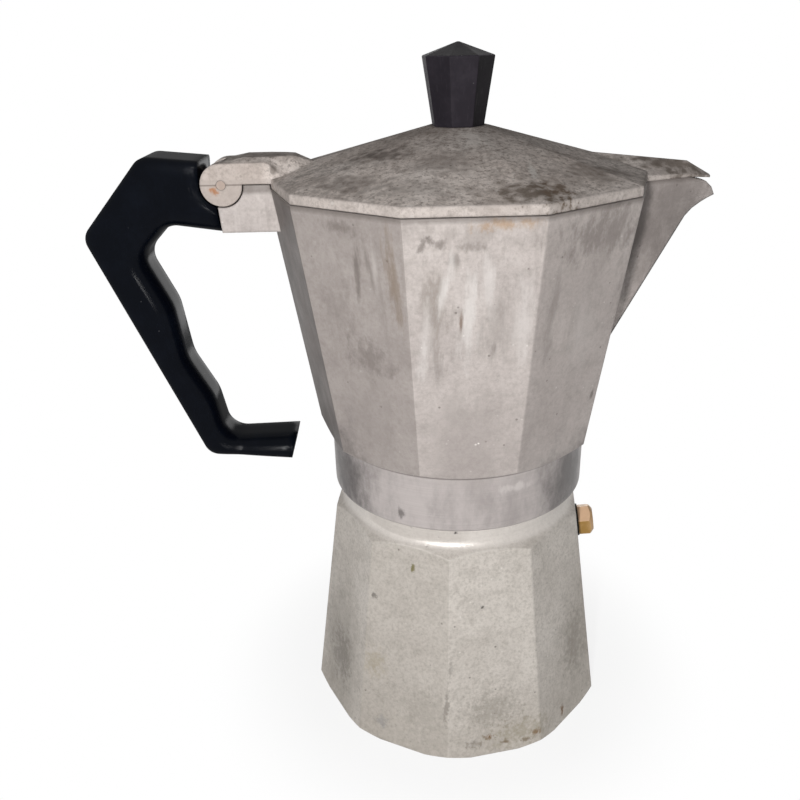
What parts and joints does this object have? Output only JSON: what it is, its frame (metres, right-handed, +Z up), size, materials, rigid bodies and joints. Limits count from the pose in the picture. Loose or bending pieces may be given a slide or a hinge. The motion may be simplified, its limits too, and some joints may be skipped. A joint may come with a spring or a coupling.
{
  "type": "moka pot",
  "caption": "Stove-top coffee pot: faceted aluminium boiler with a safety valve, a screw-on collector with spout, hinged lid with knob, black side handle.",
  "frame": {"origin": "middle of the boiler's flat underside", "axes": "+Z up the pot's axis, +X towards the spout, the handle on -X"},
  "size_m": [0.185, 0.1072, 0.2141],
  "materials": {
    "cast_aluminium": "dull cast and polished, oxidised by use",
    "pressed_aluminium": "satin",
    "valve_brass": "dull turned brass",
    "insert_brass": "plain",
    "steel": "plain, the hinge pin rusted at its ends",
    "dark_rubber": "matt",
    "pale_rubber": "matt",
    "knob_plastic": "matt, dulled by heat",
    "handle_plastic": "gloss"
  },
  "bodies": {
    "boiler": {"boiler": "cast_aluminium", "valve_washer": "dark_rubber", "valve_body": "valve_brass", "valve_cap": "valve_brass", "valve_spring": "steel"},
    "valve_plunger": {"valve_plunger": "valve_brass"},
    "funnel": {"funnel": "pressed_aluminium", "funnel_sieve": "pressed_aluminium"},
    "seal": {"gasket": "pale_rubber", "filter_plate": "pressed_aluminium"},
    "collector": {"collector": "cast_aluminium", "hinge_pin": "steel", "handle": "handle_plastic", "handle_washer": "steel", "handle_screw": "steel"},
    "lid": {"lid": "cast_aluminium", "lid_knob": "knob_plastic", "knob_insert": "insert_brass", "knob_screw": "steel", "knob_washer": "steel"}
  },
  "joints": [
    {"name": "funnel_lift", "type": "slide", "parent": "boiler", "child": "funnel", "axis": [0, 0, 1], "range_m": [0, 0.11]},
    {"name": "thread_rise", "type": "slide", "parent": "funnel", "child": "seal", "axis": [0, 0, 1], "range_m": [0, 0.0045]},
    {"name": "collector_unscrew", "type": "hinge", "parent": "seal", "child": "collector", "pos_m": [0, 0, 0.0978], "axis": [0, 0, 1], "range_deg": [0, 540]},
    {"name": "lid_hinge", "type": "hinge", "parent": "collector", "child": "lid", "pos_m": [-0.0675, 0, 0.1782], "axis": [0, -1, 0], "range_deg": [0, 78]},
    {"name": "valve_lift", "type": "slide", "parent": "boiler", "child": "valve_plunger", "axis": [0.9821, -0.131, 0.1354], "range_m": [0, 0.0015], "stiffness_N_per_m": 1000, "springref_m": -0.0025, "deforming": ["valve_spring"]}
  ],
  "couplings": [
    {"joint": "thread_rise", "follows": "collector_unscrew", "m_per_rad": 0.00047746}
  ]
}
